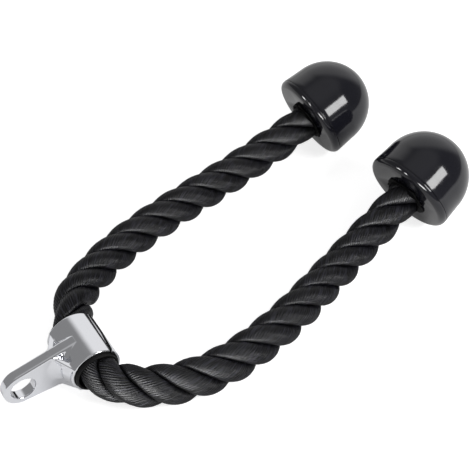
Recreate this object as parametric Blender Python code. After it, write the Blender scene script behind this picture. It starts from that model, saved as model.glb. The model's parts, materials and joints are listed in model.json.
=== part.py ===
"""Triceps rope attachment for a cable machine: a thick laid rope folded through a chromed clamp with an
eye, and a domed stop cap on each end. It lies on the floor, +Z up and +Y from the clamp to the caps.
All lengths are in metres. The left leg lies at -X and the right leg at +X.
"""

import math

import bmesh
import bpy
from mathutils import Matrix, Vector

# Fits
FIT = 0.0003            # gap between two pieces that touch
WELD = 0.00001          # points nearer than this are one
CUT_OVERRUN = 0.002     # how far a cutter runs past what it cuts

# Rope
ROPE_RADIUS = 0.0137    # over the crests of the strands
BEND_LENGTH = 0.060     # the bend next to the clamp, which flexes
BEND_STEP = 0.005
LEG_STEP = 0.012
ROPE_LEAD = 0.002       # each stretch starts and ends straight for this far, so its ends lie square
ROPE_TAIL = 0.026       # rope inside a cap, counted from the cap's face

# Clamp
CLAMP_AT = (0.0002, -0.1295)    # middle of the sleeve on the floor
CLAMP_YAW = math.radians(-10)
LINER_WALL = 0.0017
LINER_PROUD = 0.0025    # how far the liner stands out of each mouth
CLAMP_WALL = 0.002
CLAMP_LENGTH = 0.038
SLIT_WIDTH = 0.0013
SLIT_ANGLE = math.radians(30)
SLIT_STEP = 0.0014      # sideways jog at the middle of the slit
TAB_REACH = 0.047       # sleeve axis to eye centre
TAB_END_RADIUS = 0.014
TAB_THICKNESS = 0.008
TAB_EDGE = 0.001
EYE_RADIUS = 0.009
STRUT_ROOT = 0.0230     # where a strut leaves the tab, from the sleeve axis
STRUT_ROOT_WALL = 0.0042
STRUT_FOOT = 0.0145     # where it meets the end of the sleeve, from the sleeve axis
STRUT_FOOT_WALL = 0.0030
STRUT_DRAFT = 0.0020    # how much thicker a strut is at mid height, which closes its pocket there
STRUT_SINK = 0.0015     # how far a strut runs into the tab
STRUT_DROP = 0.0002     # a strut's edge lies this far under what carries it

# Stop caps
CAP_RADIUS = 0.035
CAP_HEIGHT = 0.0545
CAP_TILT = math.radians(20.3)
DOME_DRAFT = 0.0009     # how far the straight side draws in before the dome starts
DOME_START = 0.0198
DOME_WALL = 0.0035
BASE_THICKNESS = 0.005
BASE_ROUND = 0.0045
BASE_HOLE_GAP = 0.0003  # between the whipping and the hole
SPIGOT_HEIGHT = 0.004
SPIGOT_WALL = 0.0025
WHIPPING_WALL = 0.001
WHIPPING_PROUD = 0.003
WASHER_GAP = 0.0034     # between the washer and the spigot round it
WASHER_THICKNESS = 0.002
FERRULE_WALL = 0.0035
FERRULE_LENGTH = 0.0145

ROUND_SIDES = 48
ARC_STEPS = 6
DOME_STEPS = 10
TAB_ARC_STEPS = 20
CURVE_STEPS = 24        # points on a rope's route between two that were chosen

LINER_BORE = ROPE_RADIUS + FIT
LINER_RADIUS = LINER_BORE + LINER_WALL
CLAMP_BORE = LINER_RADIUS + FIT
CLAMP_RADIUS = CLAMP_BORE + CLAMP_WALL
CLAMP_PITCH = math.asin((CLAMP_RADIUS - TAB_END_RADIUS) / TAB_REACH)
MOUTH = CLAMP_LENGTH / 2 + LINER_PROUD
WHIPPING_RADIUS = LINER_BORE + WHIPPING_WALL
BASE_HOLE = WHIPPING_RADIUS + BASE_HOLE_GAP
DOME_RADIUS = CAP_RADIUS - DOME_DRAFT
SPIGOT_RADIUS = CAP_RADIUS - DOME_WALL - 2 * FIT
SPIGOT_BORE = SPIGOT_RADIUS - SPIGOT_WALL
WASHER_RADIUS = SPIGOT_BORE - WASHER_GAP
# A tilted cap rests on the round of its base.
CAP_BASE_Z = (CAP_RADIUS - BASE_ROUND) * math.cos(CAP_TILT) + BASE_ROUND * (1 - math.sin(CAP_TILT))

# The rope's route on each side, chosen by hand: from the bend at the clamp's mouth to the last point
# before the cap. Sideways and lengthways it is counted from the clamp, and its height from the floor.
# The rope sags to the floor and rises to the middle of the cap.
LEFT_ROUTE = (
    (-0.0272, 0.0059, 0.0179), (-0.0323, 0.0097, 0.0176), (-0.0372, 0.0149, 0.0172),
    (-0.0417, 0.0211, 0.0166), (-0.0459, 0.0285, 0.0160), (-0.0512, 0.0409, 0.0149),
    (-0.0558, 0.0540, 0.0143), (-0.0604, 0.0740, 0.0140), (-0.0634, 0.0970, 0.0140),
    (-0.0645, 0.1200, 0.0140), (-0.0648, 0.1430, 0.0140), (-0.0646, 0.1650, 0.0140),
    (-0.0643, 0.1842, 0.0142), (-0.0637, 0.1978, 0.0151), (-0.0627, 0.2115, 0.0167),
    (-0.0616, 0.2248, 0.0191), (-0.0598, 0.2386, 0.0221),
)
RIGHT_ROUTE = (
    (0.0280, -0.0035, 0.0179), (0.0340, -0.0007, 0.0176), (0.0398, 0.0039, 0.0172),
    (0.0454, 0.0094, 0.0167), (0.0505, 0.0156, 0.0161), (0.0576, 0.0264, 0.0152),
    (0.0630, 0.0379, 0.0146), (0.0672, 0.0500, 0.0142), (0.0703, 0.0639, 0.0140),
    (0.0719, 0.0800, 0.0140), (0.0720, 0.0980, 0.0140), (0.0707, 0.1180, 0.0140),
    (0.0684, 0.1370, 0.0140), (0.0656, 0.1545, 0.0140), (0.0629, 0.1700, 0.0140),
    (0.0604, 0.1855, 0.0145), (0.0583, 0.2011, 0.0160), (0.0567, 0.2159, 0.0184),
    (0.0555, 0.2330, 0.0221),
)
# Middle of a cap's face and middle of the bend, counted from the clamp
LEFT_CAP_AT = (-0.0558, 0.2665)
LEFT_CAP_TURN = math.radians(8.2)
LEFT_PIVOT = (-0.0431, 0.0234)
RIGHT_CAP_AT = (0.0546, 0.2614)
RIGHT_CAP_TURN = math.radians(-1.3)
RIGHT_PIVOT = (0.0464, 0.0105)
CAP_RUN = 0.016         # the rope is straight for this far before a cap


def clear_scene():
    """Removes whatever the file opened with."""
    for obj in list(bpy.data.objects):
        bpy.data.objects.remove(obj, do_unlink=True)


def make_material(name, rgb, roughness, metallic=0.0):
    """A Principled material with a plain colour."""
    material = bpy.data.materials.new(name)
    material.use_nodes = True
    shader = material.node_tree.nodes["Principled BSDF"]
    shader.inputs["Base Color"].default_value = (*rgb, 1.0)
    shader.inputs["Roughness"].default_value = roughness
    shader.inputs["Metallic"].default_value = metallic
    return material


def add_empty(name, matrix, parent=None):
    """An empty that stands on a joint's axis or in a piece's own frame."""
    empty = bpy.data.objects.new(name, None)
    bpy.context.scene.collection.objects.link(empty)
    empty.empty_display_size = CLAMP_RADIUS
    empty.matrix_world = matrix
    bpy.context.view_layer.update()
    if parent:
        hang(empty, parent)
    return empty


def hang(obj, parent):
    """Parents an object and keeps it where it is."""
    obj.parent = parent
    obj.matrix_parent_inverse = parent.matrix_world.inverted()
    bpy.context.view_layer.update()


def add_object(name, data, material, matrix, parent):
    """A named object with one material, placed in the world and hung on its empty."""
    obj = bpy.data.objects.new(name, data)
    bpy.context.scene.collection.objects.link(obj)
    data.materials.append(material)
    obj.matrix_world = matrix
    bpy.context.view_layer.update()
    hang(obj, parent)
    return obj


def mesh_from(bm, name, smooth_angle=math.radians(35)):
    """Turns a bmesh into a mesh with outward faces and smooth round sides."""
    bmesh.ops.recalc_face_normals(bm, faces=bm.faces)
    mesh = bpy.data.meshes.new(name)
    bm.to_mesh(mesh)
    bm.free()
    mesh.shade_smooth()
    mesh.set_sharp_from_angle(angle=smooth_angle)
    return mesh


def turned(name, profile):
    """A ring or tube about local Z. The profile is its section, as (radius, height) points."""
    bm = bmesh.new()
    points = [bm.verts.new((r, 0.0, z)) for r, z in profile]
    edges = [bm.edges.new(pair) for pair in zip(points, [*points[1:], points[0]])]
    return spun(bm, name, points + edges)


def turned_shell(name, outer, inner):
    """A dome with a wall about local Z. Both skins start at the rim and end on the axis."""
    bm = bmesh.new()
    geom, rims = [], []
    for skin in (outer, inner):
        points = [bm.verts.new((r, 0.0, z)) for r, z in skin]
        geom += [*points, *(bm.edges.new(pair) for pair in zip(points, points[1:]))]
        rims.append(points[0])
    geom.append(bm.edges.new(rims))
    return spun(bm, name, geom)


def spun(bm, name, geom):
    """Turns a section once about local Z and closes the seam."""
    bmesh.ops.spin(bm, geom=geom, cent=(0, 0, 0), axis=(0, 0, 1), angle=math.tau, steps=ROUND_SIDES,
                   use_merge=True, use_duplicate=False)
    bmesh.ops.remove_doubles(bm, verts=bm.verts, dist=WELD)
    return mesh_from(bm, name)


def ring(name, bore, radius, low, high):
    """A plain ring or tube about local Z."""
    return turned(name, [(bore, low), (radius, low), (radius, high), (bore, high)])


def arc(centre, radius, start, end, steps):
    """Points on a circle in a plane, from one angle to another."""
    return [
        (centre[0] + radius * math.cos(a), centre[1] + radius * math.sin(a))
        for a in (start + (end - start) * k / steps for k in range(steps + 1))
    ]


def prism(points, low, high):
    """A straight bmesh prism along local X, from an outline of (y, z) points."""
    bm = bmesh.new()
    face = bm.faces.new([bm.verts.new((low, y, z)) for y, z in points])
    made = bmesh.ops.extrude_face_region(bm, geom=[face])
    moved = [v for v in made["geom"] if isinstance(v, bmesh.types.BMVert)]
    bmesh.ops.translate(bm, verts=moved, vec=(high - low, 0, 0))
    return bm


def cylinder_x(radius, length):
    """A bmesh cylinder along local X about the origin."""
    points = arc((0.0, 0.0), radius, 0.0, math.tau, ROUND_SIDES)[:-1]
    return prism(points, -length / 2, length / 2)


def add_cutter(name, bm, matrix, parent):
    """A shape that another one is cut by or joined with. It isn't rendered."""
    mesh = mesh_from(bm, name)
    cutter = bpy.data.objects.new(name, mesh)
    bpy.context.scene.collection.objects.link(cutter)
    cutter.matrix_world = matrix
    cutter.hide_render = True
    cutter.display_type = "WIRE"
    bpy.context.view_layer.update()
    hang(cutter, parent)
    return cutter


def add_boolean(obj, other, operation):
    """Leaves a live Boolean on the object."""
    modifier = obj.modifiers.new(f"{operation.lower()}_{other.name}", "BOOLEAN")
    modifier.operation = operation
    modifier.solver = "EXACT"
    modifier.object = other


def smooth_points(points, start, end, step):
    """Points at about an even step along a smooth curve through the given ones. It leaves and arrives
    in the given directions."""
    first = points[1] - start * 2 * (points[1] - points[0]).length
    last = points[-2] + end * 2 * (points[-1] - points[-2]).length
    ends = [first, *points, last]
    dense = []
    for a, b, c, d in zip(ends, ends[1:], ends[2:], ends[3:]):
        for k in range(CURVE_STEPS):
            t = k / CURVE_STEPS
            dense.append(
                (b * 2 + (c - a) * t + (a * 2 - b * 5 + c * 4 - d) * t ** 2
                 + (b * 3 - a - c * 3 + d) * t ** 3) / 2
            )
    dense.append(points[-1])
    return even_points(dense, step)


def even_points(dense, step):
    """The same line with its points evenly spaced."""
    run = [0.0]
    for a, b in zip(dense, dense[1:]):
        run.append(run[-1] + (b - a).length)
    count = max(2, round(run[-1] / step))
    made, k = [], 0
    for n in range(count + 1):
        want = run[-1] * n / count
        while k < len(run) - 2 and run[k + 1] < want:
            k += 1
        share = (want - run[k]) / (run[k + 1] - run[k])
        made.append(dense[k].lerp(dense[k + 1], min(share, 1.0)))
    return made


def stretch(line, start, end, step):
    """The part of a fine line between two distances along it, with its points evenly spaced and both
    ends straight."""
    run, kept = 0.0, []
    for a, b in zip(line, line[1:]):
        length = (b - a).length
        if run + length > start and not kept:
            kept.append(a.lerp(b, (start - run) / length))
        if kept and run + length < end:
            kept.append(b)
        if run + length >= end:
            kept.append(a.lerp(b, (end - run) / length))
            break
        run += length
    leave, arrive = (kept[2] - kept[0]).normalized(), (kept[-1] - kept[-3]).normalized()
    first, *middle, last = even_points(kept, step)
    return [first, first + leave * ROPE_LEAD, *middle, last - arrive * ROPE_LEAD, last]


def line_length(line):
    """The length of a line of points."""
    return sum((b - a).length for a, b in zip(line, line[1:]))


def add_rope(name, points, material, parent):
    """One plain stretch of rope as a round tube along the points."""
    curve = bpy.data.curves.new(name, "CURVE")
    curve.dimensions = "3D"
    curve.bevel_depth = ROPE_RADIUS
    curve.bevel_resolution = 4
    curve.use_fill_caps = True
    spline = curve.splines.new("POLY")
    spline.points.add(len(points) - 1)
    origin = parent.matrix_world.translation
    for slot, point in zip(spline.points, points):
        slot.co = (*(point - origin), 1.0)
    return add_object(name, curve, material, Matrix.Translation(origin), parent)


def make_clamp(frame, chrome, rubber):
    """The chromed casting: sleeve, flat tab with the eye, and two struts, with its rubber liner."""
    place = frame.matrix_world
    half = TAB_THICKNESS / 2
    lean = CLAMP_PITCH
    # The tab's outline is tangent to the sleeve and to the round end.
    end_arc = arc((-TAB_REACH, 0.0), TAB_END_RADIUS, math.pi / 2 + lean, math.pi * 3 / 2 - lean,
                  TAB_ARC_STEPS)
    sleeve_arc = arc((0.0, 0.0), CLAMP_RADIUS - STRUT_DROP, -math.pi / 2 - lean,
                     math.pi / 2 + lean, TAB_ARC_STEPS)
    bm = prism(end_arc + sleeve_arc, -half, half)
    rim = [e for e in bm.edges if abs(e.verts[0].co.x - e.verts[1].co.x) < FIT]
    bmesh.ops.bevel(bm, geom=rim, offset=TAB_EDGE, segments=2, profile=0.5, affect="EDGES")
    body = add_object("clamp_body", mesh_from(bm, "clamp_body"), chrome, place, frame)

    sleeve = add_cutter("sleeve_shape", cylinder_x(CLAMP_RADIUS, CLAMP_LENGTH), place, frame)
    add_boolean(body, sleeve, "UNION")
    for name, side in (("far", -1.0), ("near", 1.0)):
        strut = add_cutter(f"strut_{name}", strut_shape(side), place, frame)
        add_boolean(body, strut, "UNION")
    bore = add_cutter("bore_shape", cylinder_x(CLAMP_BORE, CLAMP_LENGTH + 2 * CUT_OVERRUN), place, frame)
    add_boolean(body, bore, "DIFFERENCE")
    eye_bm = cylinder_x(EYE_RADIUS, TAB_THICKNESS + 2 * CUT_OVERRUN)
    bmesh.ops.translate(eye_bm, verts=eye_bm.verts, vec=(0, -TAB_REACH, 0))
    add_boolean(body, add_cutter("eye_shape", eye_bm, place, frame), "DIFFERENCE")
    add_boolean(body, add_cutter("slit_shape", slit_shape(), place, frame), "DIFFERENCE")

    along_x = place @ Matrix.Rotation(math.pi / 2, 4, "Y")
    liner = ring("clamp_liner", LINER_BORE, LINER_RADIUS, -MOUTH, MOUTH)
    add_object("clamp_liner", liner, rubber, along_x, frame)
    return body


def strut_shape(side):
    """One strut from the tab to an end of the sleeve, as deep as what it joins at each end. Above and
    below mid height its inner wall draws back, which leaves a pocket open to the top and the bottom."""
    tab_x = TAB_THICKNESS / 2 - STRUT_SINK
    end_x = CLAMP_LENGTH / 2 - STRUT_DROP
    slope = math.sin(CLAMP_PITCH)

    def tab_height(reach):
        return (CLAMP_RADIUS - slope * reach) / math.cos(CLAMP_PITCH) - TAB_EDGE

    def sleeve_height(reach):
        return math.sqrt(CLAMP_RADIUS ** 2 - reach ** 2) - STRUT_DROP

    bm = bmesh.new()
    rings = []
    for level, draft in ((1, 0.0), (0, STRUT_DRAFT), (-1, 0.0)):
        root_in = STRUT_ROOT - STRUT_ROOT_WALL - draft
        foot_in = STRUT_FOOT - STRUT_FOOT_WALL - draft
        corners = (
            (tab_x, STRUT_ROOT, tab_height(STRUT_ROOT)), (end_x, STRUT_FOOT, sleeve_height(STRUT_FOOT)),
            (end_x, foot_in, sleeve_height(foot_in)), (tab_x, root_in, tab_height(root_in)),
        )
        rings.append([bm.verts.new((side * x, -reach, level * z)) for x, reach, z in corners])
    for upper, lower in zip(rings, rings[1:]):
        for k in range(4):
            bm.faces.new((upper[k], upper[k - 1], lower[k - 1], lower[k]))
    bm.faces.new(rings[0])
    bm.faces.new(rings[-1])
    bmesh.ops.triangulate(bm, faces=bm.faces)
    return bm


def slit_shape():
    """The closed-up slit of the sleeve, in two halves that jog sideways where they meet."""
    bm = bmesh.new()
    reach = CLAMP_LENGTH / 2 + CUT_OVERRUN
    inner, outer = CLAMP_BORE - CUT_OVERRUN, CLAMP_RADIUS + CUT_OVERRUN
    step, half = SLIT_STEP / 2, SLIT_WIDTH / 2
    plan = (
        (-reach, -step - half), (half, -step - half), (half, step - half), (reach, step - half),
        (reach, step + half), (-half, step + half), (-half, half - step), (-reach, half - step),
    )
    face = bm.faces.new([bm.verts.new((x, y, inner)) for x, y in plan])
    made = bmesh.ops.extrude_face_region(bm, geom=[face])
    moved = [v for v in made["geom"] if isinstance(v, bmesh.types.BMVert)]
    bmesh.ops.translate(bm, verts=moved, vec=(0, 0, outer - inner))
    # The slit looks up and away from the tab.
    turn = Matrix.Rotation(SLIT_ANGLE - math.pi / 2, 4, "X")
    bmesh.ops.transform(bm, matrix=turn, verts=bm.verts)
    return bm


def dome_side(radius_inset, low):
    """Half the section of the dome, from its rim to its top, as (radius, height) points."""
    height = CAP_HEIGHT - DOME_START - radius_inset
    points = [(CAP_RADIUS - radius_inset, low), (DOME_RADIUS - radius_inset, DOME_START)]
    for k in range(1, DOME_STEPS):
        a = math.pi / 2 * k / DOME_STEPS
        points.append(((DOME_RADIUS - radius_inset) * math.cos(a), DOME_START + height * math.sin(a)))
    return [*points, (0.0, DOME_START + height)]


def make_cap(side, place, parent, finishes):
    """One stop cap with what holds the rope in it. Local Z runs from its face to its top."""
    plastic, steel, tape = finishes
    seat = BASE_THICKNESS + FIT
    dome = turned_shell(f"cap_dome_{side}", dome_side(0.0, seat), dome_side(DOME_WALL, seat))
    add_object(f"cap_dome_{side}", dome, plastic, place, parent)

    lip = arc((CAP_RADIUS - BASE_ROUND, BASE_ROUND), BASE_ROUND, -math.pi / 2, 0.0, ARC_STEPS)
    spigot_top = BASE_THICKNESS + SPIGOT_HEIGHT
    base = [
        (BASE_HOLE, 0.0), *lip, (CAP_RADIUS, BASE_THICKNESS), (SPIGOT_RADIUS, BASE_THICKNESS),
        (SPIGOT_RADIUS, spigot_top), (SPIGOT_BORE, spigot_top), (SPIGOT_BORE, BASE_THICKNESS),
        (BASE_HOLE, BASE_THICKNESS),
    ]
    add_object(f"cap_base_{side}", turned(f"cap_base_{side}", base), plastic, place, parent)

    whipping = ring(f"rope_whipping_{side}", LINER_BORE, WHIPPING_RADIUS, -WHIPPING_PROUD,
                    BASE_THICKNESS - FIT)
    add_object(f"rope_whipping_{side}", whipping, tape, place, parent)
    washer = ring(f"stop_washer_{side}", LINER_BORE, WASHER_RADIUS, seat, seat + WASHER_THICKNESS)
    add_object(f"stop_washer_{side}", washer, steel, place, parent)
    low = seat + WASHER_THICKNESS + FIT
    ferrule = ring(f"swaged_ferrule_{side}", LINER_BORE, LINER_BORE + FERRULE_WALL, low,
                   low + FERRULE_LENGTH)
    add_object(f"swaged_ferrule_{side}", ferrule, steel, place, parent)


def cap_frame(clamp_at, cap_at, turn):
    """The frame of a cap, with local Z from the middle of its face to its top, and that axis."""
    axis = Vector((math.sin(turn) * math.cos(CAP_TILT), math.cos(turn) * math.cos(CAP_TILT),
                   math.sin(CAP_TILT)))
    at = Vector((clamp_at.x + cap_at[0], clamp_at.y + cap_at[1], CAP_BASE_Z))
    return Matrix.Translation(at) @ axis.to_track_quat("Z", "Y").to_matrix().to_4x4(), axis


def make_leg(side, clamp_at, out, route, pivot, cap_at, cap_turn, bend, finishes):
    """One leg: the rope's bend, its long run and its tail, and the cap on its end."""
    rope, plastic, steel, tape = finishes
    swing_at = clamp_at + Vector((*pivot, 0))
    swing = add_empty(f"swing_{side}", Matrix.Translation(swing_at), bend)
    cap_place, cap_axis = cap_frame(clamp_at, cap_at, cap_turn)
    face = cap_place.translation

    foot = Vector((clamp_at.x, clamp_at.y, 0))
    tail_start = face - cap_axis * (WHIPPING_PROUD + FIT)
    points = [clamp_at + out * (MOUTH + FIT), *(foot + Vector(p) for p in route),
              face - cap_axis * CAP_RUN, tail_start - cap_axis * FIT]
    line = smooth_points(points, out, cap_axis, BEND_STEP / CURVE_STEPS)
    add_rope(f"rope_bend_{side}", stretch(line, 0.0, BEND_LENGTH, BEND_STEP), rope, bend)
    run = stretch(line, BEND_LENGTH + FIT, line_length(line), LEG_STEP)
    add_rope(f"rope_leg_{side}", run, rope, swing)
    add_rope(f"rope_tail_{side}", [tail_start, face + cap_axis * ROPE_TAIL], rope, swing)
    make_cap(side, cap_place, swing, (plastic, steel, tape))


def main():
    """Builds the whole attachment."""
    clear_scene()
    chrome = make_material("chrome_plated_casting", (0.78, 0.78, 0.80), 0.08, 1.0)
    rubber = make_material("black_rubber", (0.012, 0.012, 0.013), 0.6)
    rope = make_material("black_polypropylene_rope", (0.016, 0.016, 0.018), 0.45)
    plastic = make_material("black_gloss_plastic", (0.012, 0.012, 0.014), 0.12)
    steel = make_material("zinc_plated_steel", (0.60, 0.60, 0.60), 0.35, 1.0)
    tape = make_material("black_whipping_tape", (0.01, 0.01, 0.01), 0.5)

    turn = Matrix.Rotation(CLAMP_YAW, 4, "Z")
    at = Matrix.Translation((*CLAMP_AT, CLAMP_RADIUS))
    frame = add_empty("clamp_frame", at @ turn @ Matrix.Rotation(CLAMP_PITCH, 4, "X"))
    make_clamp(frame, chrome, rubber)
    centre = at.translation
    across = turn.to_3x3() @ Vector((1, 0, 0))
    add_rope("rope_bight", [centre - across * MOUTH, centre + across * MOUTH], rope, frame)

    finishes = (rope, plastic, steel, tape)
    bend = add_empty("lift_left", at @ turn, frame)
    make_leg("left", centre, -across, LEFT_ROUTE, LEFT_PIVOT, LEFT_CAP_AT, LEFT_CAP_TURN, bend, finishes)
    bend = add_empty("lift_right", at @ turn, frame)
    make_leg("right", centre, across, RIGHT_ROUTE, RIGHT_PIVOT, RIGHT_CAP_AT, RIGHT_CAP_TURN, bend,
             finishes)


main()
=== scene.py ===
"""Looks of a triceps rope attachment: a thick black laid rope, folded through a chromed clamp with a
flat eye tab, with a domed plastic stop cap on each end. Metres, +Z up, +Y from the clamp to the caps."""

import json
import logging
import math
from collections.abc import Callable
from dataclasses import dataclass
from enum import Enum

import bpy
import numpy as np
from mathutils import Matrix, Vector


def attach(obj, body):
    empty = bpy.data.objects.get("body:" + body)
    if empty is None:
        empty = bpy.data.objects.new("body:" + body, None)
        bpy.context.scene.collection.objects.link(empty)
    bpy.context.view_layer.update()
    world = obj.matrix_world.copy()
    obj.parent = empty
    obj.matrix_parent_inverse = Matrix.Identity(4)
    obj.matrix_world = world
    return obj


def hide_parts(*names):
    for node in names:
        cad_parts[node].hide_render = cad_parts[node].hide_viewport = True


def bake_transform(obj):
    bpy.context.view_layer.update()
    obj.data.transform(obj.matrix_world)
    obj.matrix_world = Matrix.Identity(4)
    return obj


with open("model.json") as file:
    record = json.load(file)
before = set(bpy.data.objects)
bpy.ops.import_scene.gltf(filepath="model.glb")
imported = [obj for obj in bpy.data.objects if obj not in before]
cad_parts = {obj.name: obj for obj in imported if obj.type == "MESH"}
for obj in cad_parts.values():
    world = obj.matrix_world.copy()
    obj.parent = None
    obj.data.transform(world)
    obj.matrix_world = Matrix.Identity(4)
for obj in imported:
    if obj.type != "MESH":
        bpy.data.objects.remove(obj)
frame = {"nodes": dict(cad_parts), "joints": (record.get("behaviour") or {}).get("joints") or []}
LOG = logging.getLogger("rope_attachment")

FIT = 0.0003            # gap between two pieces that touch
MM = 0.001

# Sizes that several sub-assemblies share, as the construction has them.
ROPE_RADIUS = 0.0137    # over the crests of the strands
LINER_WALL = 0.0017
LINER_PROUD = 0.0025
CLAMP_WALL = 0.002
CLAMP_LENGTH = 0.038
LINER_BORE = ROPE_RADIUS + FIT
LINER_RADIUS = LINER_BORE + LINER_WALL
CLAMP_BORE = LINER_RADIUS + FIT
CLAMP_RADIUS = CLAMP_BORE + CLAMP_WALL
MOUTH = CLAMP_LENGTH / 2 + LINER_PROUD
CAP_RADIUS = 0.035
CAP_TILT = math.radians(20.3)
BASE_ROUND = 0.0045
CAP_BASE_Z = (CAP_RADIUS - BASE_ROUND) * math.cos(CAP_TILT) + BASE_ROUND * (1 - math.sin(CAP_TILT))
WHIPPING_PROUD = 0.003
CAP_RUN = 0.016         # the rope is straight for this far before a cap
BEND_LENGTH = 0.060     # the stretch of rope next to the clamp, whose end the leg finds along its line

# The rope's two routes, (x, y) counted from the clamp and z from the floor.
LEFT_ROUTE = (
    (-0.0272, 0.0059, 0.0179), (-0.0323, 0.0097, 0.0176), (-0.0372, 0.0149, 0.0172),
    (-0.0417, 0.0211, 0.0166), (-0.0459, 0.0285, 0.0160), (-0.0512, 0.0409, 0.0149),
    (-0.0558, 0.0540, 0.0143), (-0.0604, 0.0740, 0.0140), (-0.0634, 0.0970, 0.0140),
    (-0.0645, 0.1200, 0.0140), (-0.0648, 0.1430, 0.0140), (-0.0646, 0.1650, 0.0140),
    (-0.0643, 0.1842, 0.0142), (-0.0637, 0.1978, 0.0151), (-0.0627, 0.2115, 0.0167),
    (-0.0616, 0.2248, 0.0191), (-0.0598, 0.2386, 0.0221),
)
RIGHT_ROUTE = (
    (0.0280, -0.0035, 0.0179), (0.0340, -0.0007, 0.0176), (0.0398, 0.0039, 0.0172),
    (0.0454, 0.0094, 0.0167), (0.0505, 0.0156, 0.0161), (0.0576, 0.0264, 0.0152),
    (0.0630, 0.0379, 0.0146), (0.0672, 0.0500, 0.0142), (0.0703, 0.0639, 0.0140),
    (0.0719, 0.0800, 0.0140), (0.0720, 0.0980, 0.0140), (0.0707, 0.1180, 0.0140),
    (0.0684, 0.1370, 0.0140), (0.0656, 0.1545, 0.0140), (0.0629, 0.1700, 0.0140),
    (0.0604, 0.1855, 0.0145), (0.0583, 0.2011, 0.0160), (0.0567, 0.2159, 0.0184),
    (0.0555, 0.2330, 0.0221),
)

Route = tuple[tuple[float, float, float], ...]
Colour = tuple[float, float, float, float]
PointTest = Callable[[Vector], bool]
ElementTest = Callable[[bpy.types.bpy_struct], bool]


class Side(Enum):
    """The two legs of the rope."""

    LEFT = "left"
    RIGHT = "right"


@dataclass(frozen=True)
class LegPlan:
    """What differs between the two legs."""

    side: Side
    way: float                          # which way it leaves along the sleeve's axis
    route: Route
    cap_at: tuple[float, float]         # middle of the cap's face, counted from the clamp
    cap_turn: float                     # how far the cap is turned on the floor, in degrees
    groove: float                       # angle of a crevice at the mouth, from straight up, in degrees
    pitch: float                        # length of one turn of the lay
    give: tuple[float, float, float]    # how the rope crowds the mouth: back, sideways, over what length
    yarn_seed: int
    fray_seed: int


LEGS = (
    LegPlan(Side.LEFT, -1.0, LEFT_ROUTE, cap_at=(-0.0558, 0.2665), cap_turn=8.2, groove=-35.3,
            pitch=0.0652, give=(0.0027, 0.0042, 0.028), yarn_seed=11, fray_seed=5),
    LegPlan(Side.RIGHT, 1.0, RIGHT_ROUTE, cap_at=(0.0546, 0.2614), cap_turn=-1.3, groove=4.3,
            pitch=0.0644, give=(0.0, 0.0018, 0.018), yarn_seed=23, fray_seed=9),
)
FOLD_GROOVES = (math.radians(59.0), math.radians(220.3))    # a crevice at the fold's two ends


def linear(code: str) -> Colour:
    """Turns an sRGB hex colour to the linear values that Blender's sockets take.

    Args:
        code: Six hex digits after a hash.

    Returns:
        Red, green, blue and an alpha of one.
    """
    channels = []
    for k in (1, 3, 5):
        value = int(code[k:k + 2], 16) / 255
        channels.append(value / 12.92 if value <= 0.04045 else ((value + 0.055) / 1.055) ** 2.4)
    return channels[0], channels[1], channels[2], 1.0


def add_node(tree: bpy.types.NodeTree, kind: str, settings: dict | None = None,
             inputs: dict | None = None) -> bpy.types.Node:
    """Adds one shader node with its settings and what goes into it.

    Args:
        tree: The node tree.
        kind: The node's Blender type.
        settings: Attributes of the node.
        inputs: Values or other nodes' output sockets, by socket name or number.

    Returns:
        The new node.
    """
    node = tree.nodes.new(kind)
    for name, value in (settings or {}).items():
        setattr(node, name, value)
    for name, value in (inputs or {}).items():
        if isinstance(value, bpy.types.NodeSocket):
            tree.links.new(value, node.inputs[name])
        else:
            node.inputs[name].default_value = value
    return node


def new_material(name: str) -> tuple[bpy.types.Material, bpy.types.NodeTree, bpy.types.NodeSocket]:
    """Makes an empty material.

    Args:
        name: What the finish is called in a shop or works.

    Returns:
        The material, its tree and the socket that takes the surface.
    """
    material = bpy.data.materials.new(name)
    material.use_nodes = True
    tree = material.node_tree
    tree.nodes.clear()
    output = add_node(tree, "ShaderNodeOutputMaterial")
    return material, tree, output.inputs["Surface"]


@dataclass(frozen=True)
class ChromePlate:
    """Chromium plate over a polished steel casting: a cool bright mirror whose reflections wander a
    little, because the casting under it was belt ground by hand and is nowhere quite flat."""

    colour: str = "#e3e4e8"
    roughness: float = 0.055
    wave_mm: float = 9.0
    wave_height_mm: float = 0.05
    haze_mm: float = 3.5

    def build(self) -> bpy.types.Material:
        """Makes the material.

        Returns:
            Polished chrome with faint waves and fine hazy patches.
        """
        material, tree, surface = new_material("polished_chrome_plate_on_cast_steel")
        place = add_node(tree, "ShaderNodeTexCoord").outputs["Object"]
        waves = add_node(tree, "ShaderNodeTexNoise", None,
                         {"Vector": place, "Scale": 1 / (self.wave_mm * MM), "Detail": 1.0,
                          "Roughness": 0.3})
        bump = add_node(tree, "ShaderNodeBump", None,
                        {"Height": waves.outputs["Fac"], "Distance": self.wave_height_mm * MM,
                         "Strength": 1.0})
        haze = add_node(tree, "ShaderNodeTexNoise", None,
                        {"Vector": place, "Scale": 1 / (self.haze_mm * MM), "Detail": 4.0, "Roughness": 0.6})
        rough = add_node(tree, "ShaderNodeMapRange", None,
                         {"Value": haze.outputs["Fac"], "From Min": 0.35, "From Max": 0.75,
                          "To Min": self.roughness, "To Max": self.roughness * 1.8})
        shader = add_node(tree, "ShaderNodeBsdfPrincipled", None,
                          {"Base Color": linear(self.colour), "Metallic": 1.0,
                           "Roughness": rough.outputs["Result"], "Normal": bump.outputs["Normal"]})
        tree.links.new(shader.outputs["BSDF"], surface)
        return material


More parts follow.
